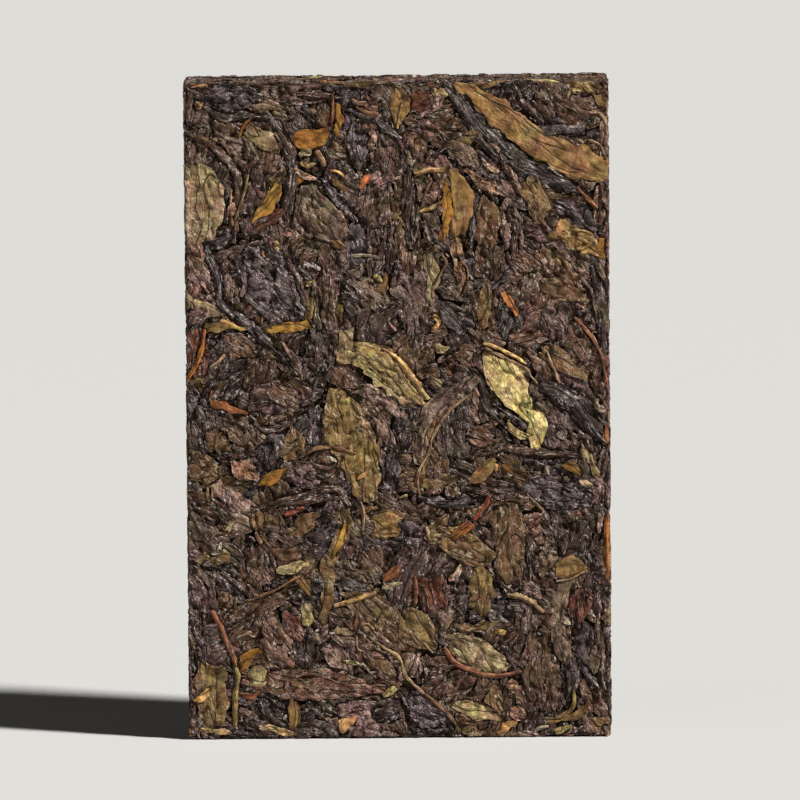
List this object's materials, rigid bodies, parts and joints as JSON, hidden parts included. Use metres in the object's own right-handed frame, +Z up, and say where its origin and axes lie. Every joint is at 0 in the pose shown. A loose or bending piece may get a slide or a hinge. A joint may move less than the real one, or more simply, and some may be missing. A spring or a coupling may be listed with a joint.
{
  "type": "pu erh tea brick",
  "caption": "Rectangular slab of whole dark tea leaves pressed hard in a mould, with square corners and a shallow leafy relief, standing on one short edge.",
  "frame": {"origin": "middle of the short edge face that the brick stands on", "axes": "+Z up the brick's long side, Y through its thickness with the shown face towards -Y, X across its width"},
  "size_m": [0.09, 0.022, 0.14],
  "materials": {
    "pressed_tea": "dry, faintly waxy dark brown leaf with a fine wrinkled grain",
    "dark_leaf": "near-black brown rolled leaf, satin on its ridges",
    "amber_leaf": "smooth golden brown leaf with a soft sheen",
    "old_leaf": "matt khaki leaf with a pebbled surface",
    "stem": "matt reddish to straw-coloured woody stalk",
    "bud": "pale downy bud and leaf fibre"
  },
  "bodies": {
    "root": {"tea_brick": "pressed_tea"}
  },
  "joints": []
}
